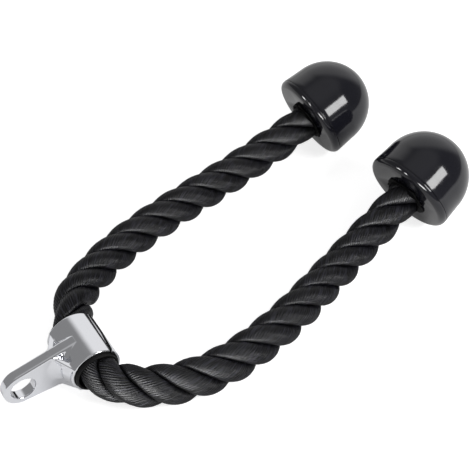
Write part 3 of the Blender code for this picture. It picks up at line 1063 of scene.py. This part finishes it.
    def form(self, at: np.ndarray) -> np.ndarray:
        """Signed distance to the finished casting, with its fillets, eased edges and bores.

        Args:
            at: Points about the sleeve's axis.

        Returns:
            Negative values inside.
        """
        x, y, z = np.abs(at[:, 0]), at[:, 1], at[:, 2]
        from_axis = np.hypot(y, z)
        sleeve = round_both(from_axis - CLAMP_RADIUS, x - CLAMP_LENGTH / 2, self.rim_edge)
        taper = (CLAMP_RADIUS - self.tab_end) / self.tab_reach
        slope = math.sqrt(1 - taper ** 2)
        along = -np.abs(z) * taper - y * slope
        outline = np.where(along > slope * self.tab_reach,
                           np.hypot(y + self.tab_reach, z) - self.tab_end,
                           np.abs(z) * slope - y * taper - CLAMP_RADIUS)
        tab = round_both(outline, x - self.tab_thickness / 2, self.tab_edge)
        tab = round_both(tab, y + self.web_start, self.web_fade)

        way = Vector((CLAMP_LENGTH / 2 - self.tab_thickness / 2, self.strut_root - self.strut_foot))
        way.normalize()
        offset = (x - self.tab_thickness / 2) * way.y + (-y - self.strut_root) * way.x
        wall = np.maximum(offset, -offset - self.strut_wall)
        wall = np.maximum(wall, x - CLAMP_LENGTH / 2 + self.rim_edge)
        share = ramp(-y, self.strut_foot, self.strut_root - self.strut_foot)
        top = np.abs(z) - self.foot_height - share * (self.root_height - self.foot_height)
        strut = round_both(wall, top, self.strut_edge)

        growth = ramp(-y, self.web_fillet_from * CLAMP_RADIUS, self.web_fillet_over * CLAMP_RADIUS)
        fillet = self.web_fillet * growth * growth * (3 - 2 * growth) + MM / 100
        body = round_union(sleeve, tab, fillet)
        front = (np.clip(1 + offset / self.strut_wall, 0, 1)
                 * ramp(self.front_height - np.abs(z), 0, self.front_height_fade)
                 * ramp(self.front_end - x, 0, self.front_end_fade))
        body = round_union(body, strut, self.strut_fillet + front * (self.front_fillet - self.strut_fillet))
        body = round_both(body, CLAMP_BORE - from_axis, self.bore_edge)
        eye = self.eye_radius - np.hypot(y + self.tab_reach, z)
        body = round_both(body, eye, self.eye_edge)
        return round_both(body, -self.slit_form(at), self.slit_edge)

    def slit_form(self, at: np.ndarray) -> np.ndarray:
        """Signed distance to the closing slit, which bends at mid length.

        Args:
            at: Points about the sleeve's axis.

        Returns:
            Negative values in the slit.
        """
        across = -at[:, 1] * math.sin(self.slit_angle) + at[:, 2] * math.cos(self.slit_angle)
        outward = at[:, 1] * math.cos(self.slit_angle) + at[:, 2] * math.sin(self.slit_angle)
        line = self.slit_slant * np.maximum(at[:, 0], 0)
        return np.maximum(np.abs(across - line) - self.slit_width / 2, CLAMP_BORE / 2 - outward)

    def draw_onto_form(self, body: bpy.types.Object) -> None:
        """Draws every point of the mesh straight onto the casting's true surface.

        Args:
            body: The casting about the origin.
        """
        mesh = body.data
        at = np.empty(len(mesh.vertices) * 3, np.float32)
        mesh.vertices.foreach_get("co", at)
        at = at.reshape(-1, 3).astype(float)
        reach, limit, least_steep = 0.01 * MM, 0.4 * MM, 0.2
        corners = np.array([(1, -1, -1), (-1, -1, 1), (-1, 1, -1), (1, 1, 1)], float)
        for _ in range(self.draws):
            levels = np.stack([self.form(at + corner * reach) for corner in corners])
            rise = np.einsum("cn,ck->nk", levels, corners) / (4 * reach)
            steep = np.maximum((rise ** 2).sum(1), least_steep)
            at -= np.clip(levels.mean(0) / steep, -limit, limit)[:, None] * rise
        mesh.vertices.foreach_set("co", at.astype(np.float32).ravel())
        mesh.update()

    def rib(self, half: float) -> bpy.types.Object:
        """Models one half of the rubber that the clamping squeezed into the slit.

        Args:
            half: Minus one for the far half, one for the near half.

        Returns:
            A bar with a rounded top.
        """
        width = self.slit_width - 2 * FIT
        low, high = LINER_BORE + MM / 2, CLAMP_RADIUS + self.rib_proud
        end = CLAMP_LENGTH / 2 - MM
        bpy.ops.object.select_all(action="DESELECT")
        bpy.ops.mesh.primitive_cube_add(
            size=1, location=(half * end / 2, 0, (low + high) / 2),
            scale=(end, width, high - low))
        obj = bpy.context.object
        bpy.ops.object.transform_apply(location=True, rotation=True, scale=True)
        open_edit(obj)
        pick(obj, "EDGE", both_ends(obj.data, lambda p: p.z > high - MM / 10))
        bpy.ops.mesh.bevel(offset=self.rib_round * width, segments=4, profile=0.5, affect="EDGES")
        close_edit()
        obj.data.transform(self.slit_place(half))
        return obj

    def liner(self) -> bpy.types.Object:
        """Models the rubber liner: a tube with eased lips and a rib in the clamp's slit.

        Returns:
            The liner about the origin.
        """
        tube = cylinder("liner_shape", LINER_RADIUS, -MOUTH, MOUTH, self.round_sides, "X")
        for half in (-1.0, 1.0):
            apply_boolean(tube, self.rib(half), "UNION")
        bore = cylinder("liner_bore", LINER_BORE, -MOUTH - MM, MOUTH + MM, self.round_sides, "X")
        apply_boolean(tube, bore, "DIFFERENCE")
        open_edit(tube)
        on_lip = both_ends(tube.data, lambda p: abs(p.x) > MOUTH - MM / 10)
        pick(tube, "EDGE", lambda e: on_lip(e) and self.round_edge(tube.data, e))
        bpy.ops.mesh.bevel(offset=self.lip_edge, segments=3, profile=0.5, affect="EDGES")
        close_edit()
        return tube

    @staticmethod
    def round_edge(mesh: bpy.types.Mesh, edge: bpy.types.MeshEdge) -> bool:
        """Tells whether an edge runs round the axis and not across a flat end."""
        ends = [math.hypot(mesh.vertices[k].co.y, mesh.vertices[k].co.z) for k in edge.vertices]
        return abs(ends[0] - ends[1]) < MM / 10

    def build(self, chrome: bpy.types.Material, rubber: bpy.types.Material,
              rope: bpy.types.Material, grooves: tuple[float, float]) -> None:
        """Models the clamp, its liner and the rope in it.

        Args:
            chrome: Finish of the casting.
            rubber: Finish of the liner.
            rope: Finish of the rope.
            grooves: Crevice angle of the rope at the left and the right end of the bight.
        """
        casting = settle(self.cast(), "clamp_casting", self.place(), chrome, 60.0)
        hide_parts("clamp_body")
        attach(casting, "clamp")
        LOG.info("clamp casting: %d faces", len(casting.data.polygons))

        liner = settle(self.liner(), "liner_sleeve", self.place(), rubber)
        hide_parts("clamp_liner")
        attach(liner, "clamp")

        across = Matrix.Rotation(self.yaw, 3, "Z") @ Vector((1, 0, 0))
        half = MOUTH - self.fold_inset
        steps = np.linspace(-half, half, self.fold_points)
        line = np.array([tuple(self.centre + across * x) for x in steps])
        turns = (grooves[1] - grooves[0]) / (2 * math.pi)
        bight = LaidRope("rope_fold", line, 0.0, grooves[0], 2 * half / turns).build(rope)
        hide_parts("rope_bight")
        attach(bight, "clamp")
        LOG.info("rope in the sleeve: lay of %.1f mm", 2 * half / turns / MM)


@dataclass
class StopCap:
    """A stop cap on a rope end: a moulded base with a rounded rim, a domed cover and the whipping
    round the rope where it goes in. Local Z runs from its face to its top."""

    plan: LegPlan
    face: Vector
    axis: Vector
    height: float = 0.0545
    dome_start: float = 0.0198      # the skirt ends and the half ball starts at this height
    dome_draft: float = 0.0009
    dome_wall: float = 0.0035
    base_thickness: float = 0.005
    hole: float = 0.0153
    spigot_height: float = 0.004
    spigot_wall: float = 0.0025
    whipping_radius: float = 0.0146
    frayed_radius: float = 0.0182
    frayed_low: float = -0.7 * MM   # the ragged edge lies between these heights
    frayed_high: float = -0.1 * MM
    seam_edge: float = 0.25 * MM    # eased edge on both sides of the line between base and cover
    lip_edge: float = 0.4 * MM
    sides: int = 160
    rings: int = 96
    skirt_steps: int = 4
    hole_sides: int = 128
    tape_sides: int = 144
    teeth: int = 40                 # of the whipping's ragged edge

    def place(self) -> Matrix:
        """The cap's place in the attachment."""
        turn = self.axis.to_track_quat("Z", "Y").to_matrix().to_4x4()
        return Matrix.Translation(self.face) @ turn

    def dome(self) -> bpy.types.Object:
        """Models the cover: a half ball with a slightly tapered skirt, hollow inside.

        Returns:
            The cover about the origin.
        """
        radius = CAP_RADIUS - self.dome_draft
        rise = self.height - self.dome_start
        seat = self.base_thickness + FIT
        bpy.ops.object.select_all(action="DESELECT")
        bpy.ops.mesh.primitive_uv_sphere_add(segments=self.sides, ring_count=self.rings, radius=1,
                                             location=(0, 0, self.dome_start),
                                             scale=(radius, radius, rise))
        obj = bpy.context.object
        bpy.ops.object.transform_apply(location=True, rotation=True, scale=True)
        open_edit(obj)
        bpy.ops.mesh.select_all(action="SELECT")
        bpy.ops.mesh.bisect(plane_co=(0, 0, self.dome_start), plane_no=(0, 0, 1), clear_inner=True,
                            threshold=MM / 100)
        rim = both_ends(obj.data, lambda p: abs(p.z - self.dome_start) < MM / 20)
        pick(obj, "EDGE", rim)
        grow = (CAP_RADIUS / radius) ** (1 / self.skirt_steps)
        for _ in range(self.skirt_steps):
            bpy.ops.mesh.extrude_region_move(
                TRANSFORM_OT_translate={"value": (0, 0, (seat - self.dome_start) / self.skirt_steps)})
            bpy.ops.transform.resize(value=(grow, grow, 1), center_override=(0, 0, 0))
        bpy.ops.mesh.select_all(action="SELECT")
        bpy.ops.mesh.normals_make_consistent(inside=False)
        close_edit()
        shell = obj.modifiers.new("wall", "SOLIDIFY")
        shell.thickness = self.dome_wall
        shell.offset = -1
        shell.use_even_offset = True
        apply_modifier(obj, shell.name)
        open_edit(obj)
        outer_rim = both_ends(obj.data, lambda p: abs(p.z - seat) < MM / 10 and (
            math.hypot(p.x, p.y) > CAP_RADIUS - MM / 5))
        pick(obj, "EDGE", outer_rim)
        bpy.ops.mesh.bevel(offset=self.seam_edge, segments=2, profile=0.5, affect="EDGES")
        close_edit()
        return obj

    def base(self) -> bpy.types.Object:
        """Models the base: a disc with a rounded rim, a hole for the rope and a spigot.

        Returns:
            The base about the origin.
        """
        obj = cylinder("base_shape", CAP_RADIUS, 0.0, self.base_thickness, self.sides)
        open_edit(obj)
        lower = both_ends(obj.data, lambda p: p.z < MM / 10)
        upper = both_ends(obj.data, lambda p: p.z > self.base_thickness - MM / 10)
        pick(obj, "EDGE", lower)
        bpy.ops.mesh.bevel(offset=BASE_ROUND, segments=12, profile=0.5, affect="EDGES")
        pick(obj, "EDGE", upper)
        bpy.ops.mesh.bevel(offset=self.seam_edge, segments=2, profile=0.5, affect="EDGES")
        spigot = CAP_RADIUS - self.dome_wall - 2 * FIT
        top = self.base_thickness - MM / 10
        pick(obj, "FACE", lambda f: f.normal.z > 0.99 and f.center.z > top and len(f.vertices) > 8)
        edge = CAP_RADIUS - self.seam_edge
        bpy.ops.mesh.inset(thickness=edge - spigot)
        bpy.ops.mesh.inset(thickness=self.spigot_wall)
        pick(obj, "FACE", lambda f: f.normal.z > 0.99 and f.center.z > top and len(f.vertices) == 4 and (
            spigot - self.spigot_wall < math.hypot(f.center.x, f.center.y) < spigot))
        bpy.ops.mesh.extrude_region_move(TRANSFORM_OT_translate={"value": (0, 0, self.spigot_height)})
        close_edit()
        hole = cylinder("hole_shape", self.hole, -MM, self.base_thickness + MM, self.hole_sides)
        apply_boolean(obj, hole, "DIFFERENCE")
        open_edit(obj)
        lip = both_ends(obj.data, lambda p: p.z < MM / 10 and math.hypot(p.x, p.y) < self.hole + MM / 5)
        pick(obj, "EDGE", lip)
        bpy.ops.mesh.bevel(offset=self.lip_edge, segments=2, profile=0.5, affect="EDGES")
        close_edit()
        return obj

    def whipping(self) -> bpy.types.Object:
        """Models the tape wound round the rope where it goes in: a short tube whose free edge is
        ragged and drawn down onto the strands.

        Returns:
            The whipping about the origin.
        """
        low, high = -0.5 * WHIPPING_PROUD, self.base_thickness - FIT
        tube = cylinder("whipping_shape", self.whipping_radius, low, high, self.tape_sides)
        flange = cylinder("frayed_end", self.frayed_radius, self.frayed_low, self.frayed_high,
                          self.tape_sides)
        apply_boolean(tube, flange, "UNION")
        bore = cylinder("whipping_bore", LINER_BORE, low - MM, high + MM, self.tape_sides)
        apply_boolean(tube, bore, "DIFFERENCE")
        rng = np.random.default_rng(self.plan.fray_seed)
        teeth = rng.uniform(0.0, 1.0, self.teeth) ** 2
        for vertex in tube.data.vertices:
            from_axis = math.hypot(vertex.co.x, vertex.co.y)
            angle = math.atan2(vertex.co.y, vertex.co.x) / math.tau % 1.0 * len(teeth)
            k, share = int(angle), angle % 1.0
            tooth = teeth[k % len(teeth)] * (1 - share) + teeth[(k + 1) % len(teeth)] * share
            if from_axis > self.whipping_radius + MM / 10:
                reach = self.whipping_radius + MM / 5 + tooth * (from_axis - self.whipping_radius)
                vertex.co.x *= reach / from_axis
                vertex.co.y *= reach / from_axis
            elif vertex.co.z < low + MM / 10:
                vertex.co.z -= WHIPPING_PROUD * 0.5 * tooth
        return tube

    def build(self, plastic: bpy.types.Material, tape: bpy.types.Material) -> None:
        """Models the three visible pieces of the cap.

        Args:
            plastic: Finish of the base and the cover.
            tape: Finish of the whipping.
        """
        side = self.plan.side.value
        for made, name, node, finish, slot in (
            (self.dome(), f"cap_cover_{side}", f"cap_dome_{side}", plastic, "cap_plastic"),
            (self.base(), f"cap_disc_{side}", f"cap_base_{side}", plastic, "cap_plastic"),
            (self.whipping(), f"whipping_tape_{side}", f"rope_whipping_{side}", tape, "tape"),
        ):
            piece = settle(made, name, self.place(), finish)
            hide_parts(node)
            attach(piece, f"leg_{side}")
            LOG.info("%s: %d faces", name, len(piece.data.polygons))


def toward(azimuth: float, elevation: float) -> Vector:
    """The direction at an azimuth, in degrees from +Y towards +X, and an elevation in degrees."""
    a, e = math.radians(azimuth), math.radians(elevation)
    return Vector((math.sin(a) * math.cos(e), math.cos(a) * math.cos(e), math.sin(e)))


@dataclass
class Studio:
    """The white studio: floor, sky, soft lights and the camera at the photograph's angle."""

    azimuth: float = math.radians(47.83)
    elevation: float = math.radians(47.35)
    distance: float = 0.850
    target: Vector = Vector((-0.00886, 0.01729, 0.020))
    field: float = math.radians(23.09)
    floor_size: float = 8.0
    sky: float = 0.50           # what the diffuse surfaces see
    mirror_sky: float = 0.27    # what gloss and metal see where no wall is bright
    floor_glow: float = 0.72    # the floor's own light, as the camera sees it
    floor_mirrored: float = 0.18    # and as gloss and metal see it

    def camera(self) -> None:
        """Sets the camera up."""
        data = bpy.data.cameras.new("camera")
        data.sensor_width = 36.0
        data.lens = data.sensor_width / 2 / math.tan(self.field / 2)
        data.clip_start = 0.01
        camera = bpy.data.objects.new("camera", data)
        bpy.context.scene.collection.objects.link(camera)
        forward = Vector((-math.sin(self.azimuth) * math.cos(self.elevation),
                          math.cos(self.azimuth) * math.cos(self.elevation),
                          -math.sin(self.elevation)))
        camera.location = self.target - forward * self.distance
        camera.rotation_euler = forward.to_track_quat("-Z", "Y").to_euler()
        bpy.context.scene.camera = camera

    def floor(self) -> None:
        """Lays the white table. It glows a little to the camera, so that it is white where nothing
        shades it and the object's shadow stays."""
        bpy.ops.object.select_all(action="DESELECT")
        bpy.ops.mesh.primitive_plane_add(size=self.floor_size, location=(0, 0, 0))
        floor = bpy.context.object
        floor.name = "floor"
        material, tree, surface = new_material("white_paper_table")
        path = add_node(tree, "ShaderNodeLightPath")
        seen = add_node(tree, "ShaderNodeMath", {"operation": "MAXIMUM"},
                        {0: path.outputs["Is Camera Ray"], 1: path.outputs["Is Transmission Ray"]})
        mirrored = add_node(tree, "ShaderNodeMath", {"operation": "MULTIPLY"},
                            {0: path.outputs["Is Glossy Ray"], 1: self.floor_mirrored})
        level = add_node(tree, "ShaderNodeMath", {"operation": "MULTIPLY_ADD"},
                         {0: seen.outputs[0], 1: self.floor_glow, 2: mirrored.outputs[0]})
        glow = add_node(tree, "ShaderNodeEmission", None,
                        {"Color": (1, 1, 1, 1), "Strength": level.outputs[0]})
        paper = add_node(tree, "ShaderNodeBsdfDiffuse", None, {"Color": linear("#e8e8e8")})
        both = add_node(tree, "ShaderNodeAddShader", None,
                        {0: glow.outputs[0], 1: paper.outputs[0]})
        tree.links.new(both.outputs[0], surface)
        floor.data.materials.append(material)

    def world(self) -> None:
        """Sets the sky: white to the camera, plain and soft to the object."""
        world = bpy.data.worlds.new("studio")
        bpy.context.scene.world = world
        world.use_nodes = True
        tree = world.node_tree
        tree.nodes.clear()
        path = add_node(tree, "ShaderNodeLightPath")
        seen = add_node(tree, "ShaderNodeMath", {"operation": "MAXIMUM"},
                        {0: path.outputs["Is Camera Ray"], 1: path.outputs["Is Transmission Ray"]})
        way = add_node(tree, "ShaderNodeTexCoord").outputs["Generated"]
        walls = None
        for azimuth, elevation, edge, middle, change in (
            (-42, 12, 53, 33, 0.66),    # the bright wall behind, to the left
            (0, 90, 38, 12, 0.22),      # the lit ceiling
            (38, 25, 42, 18, -0.12),    # the dark corner
        ):
            lobe = add_node(tree, "ShaderNodeVectorMath", {"operation": "DOT_PRODUCT"},
                            {0: way, 1: toward(azimuth, elevation)}).outputs["Value"]
            lobe = add_node(tree, "ShaderNodeMapRange", {"interpolation_type": "SMOOTHSTEP"},
                            {"Value": lobe, "From Min": math.cos(math.radians(edge)),
                             "From Max": math.cos(math.radians(middle)),
                             "To Min": 0.0, "To Max": change}).outputs["Result"]
            walls = add_node(tree, "ShaderNodeMath", {"operation": "ADD"},
                             {0: lobe, 1: self.mirror_sky if walls is None else walls}).outputs[0]
        level = add_node(tree, "ShaderNodeMix", {"data_type": "FLOAT"},
                         {"Factor": path.outputs["Is Glossy Ray"], 2: self.sky, 3: walls})
        level = add_node(tree, "ShaderNodeMix", {"data_type": "FLOAT"},
                         {"Factor": seen.outputs[0], 2: level.outputs[0], 3: 1.0})
        sky = add_node(tree, "ShaderNodeBackground", None,
                       {"Color": (1, 1, 1, 1), "Strength": level.outputs[0]})
        output = add_node(tree, "ShaderNodeOutputWorld")
        tree.links.new(sky.outputs[0], output.inputs["Surface"])

    def softbox(self, name: str, aim: Vector, azimuth: float, elevation: float, distance: float,
                size: tuple[float, float], radiance: float,
                only: tuple[str, ...] = ()) -> None:
        """Hangs a softbox.

        Args:
            name: Its name.
            aim: The point that it looks at.
            azimuth: Where it hangs from there, in degrees from +Y towards +X.
            elevation: How high, in degrees.
            distance: How far.
            size: Its width and height.
            radiance: How bright its face is, where one is white.
            only: Pieces that alone see it, as a mirror sees a white card held close to it.
        """
        way = toward(azimuth, elevation)
        data = bpy.data.lights.new(name, "AREA")
        data.shape = "RECTANGLE"
        data.size, data.size_y = size
        data.energy = radiance * math.pi * size[0] * size[1]
        lamp = bpy.data.objects.new(name, data)
        bpy.context.scene.collection.objects.link(lamp)
        lamp.location = aim + way * distance
        lamp.rotation_euler = (-way).to_track_quat("-Z", "Y").to_euler()
        lamp.visible_camera = False
        if only:
            lamp.visible_diffuse = False
            seers = bpy.data.collections.new(f"seen_by_{name}")
            for piece in only:
                seers.objects.link(bpy.data.objects[piece])
            lamp.light_linking.receiver_collection = seers

    def build(self) -> None:
        """Sets the whole studio up."""
        scene = bpy.context.scene
        scene.view_settings.view_transform = "Standard"
        self.camera()
        self.floor()
        self.world()
        caps = Vector((0, 0.14, 0.05))
        legs = Vector((0.0, 0.08, 0.014))
        clamp = Vector((0, -0.13, 0.02))
        covers = tuple(f"cap_{part}_{side.value}" for part in ("cover", "disc") for side in Side)
        ropes = ("rope_left", "rope_right", "rope_fold")
        self.softbox("key_softbox", caps, 80, 38, 1.0, (0.42, 0.36), 15.0)
        for name, azimuth, width in (("a", -152, 0.19), ("b", -171, 0.12), ("c", 143, 0.46)):
            self.softbox(f"rim_card_{name}", caps, azimuth, 17, 1.2, (width, 0.26), 26.0, covers)
        self.softbox("front_card", clamp, 150, 12, 1.0, (0.9, 0.36), 24.0, ropes)
        self.softbox("leg_card", legs, 142, 27, 1.1, (1.5, 0.34), 22.0, ropes)


def dress_hidden_steel(steel: bpy.types.Material) -> None:
    """Gives the washers and ferrules inside the caps their finish.

    Args:
        steel: The finish.
    """
    for name, node in frame["nodes"].items():
        if name.startswith(("stop_washer", "swaged_ferrule")):
            node.data.materials.clear()
            node.data.materials.append(steel)
            LOG.info("%s dressed", name)


def cap_axis(turn: float) -> Vector:
    """The direction from a cap's face to its top, from how far the cap is turned on the floor."""
    return Vector((math.sin(turn) * math.cos(CAP_TILT), math.cos(turn) * math.cos(CAP_TILT),
                   math.sin(CAP_TILT)))


def main() -> None:
    """Builds the object in order, and the studio round it."""
    logging.basicConfig(level=logging.INFO, format="%(message)s")
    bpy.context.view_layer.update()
    lift = next(j for j in frame["joints"] if j["name"] == "lift_left")
    centre = Vector(lift["pos_m"])
    across = Vector(lift["axis"]).normalized()
    yaw = math.atan2(across.y, across.x)

    rope = LaidRopeYarn().build()
    plastic = GlossPlastic().build()
    chrome = ChromePlate().build()
    rubber = MattBlack("black_nitrile_rubber_moulded", "#0a0a0b", 0.6, 0.8, 0.02).build()
    tape = MattBlack("black_cotton_whipping_tape", "#050506", 0.85, 0.5, 0.12).build()

    for plan in LEGS:
        axis = cap_axis(math.radians(plan.cap_turn))
        face = Vector((centre.x + plan.cap_at[0], centre.y + plan.cap_at[1], CAP_BASE_Z))
        RopeLeg(plan, centre, across * plan.way, face, axis).build(rope)
        StopCap(plan, face, axis).build(plastic, tape)
    Clamp(centre, yaw).build(chrome, rubber, rope, FOLD_GROOVES)
    dress_hidden_steel(ZincSteel().build())
    Studio().build()


if __name__ == "__main__":
    main()
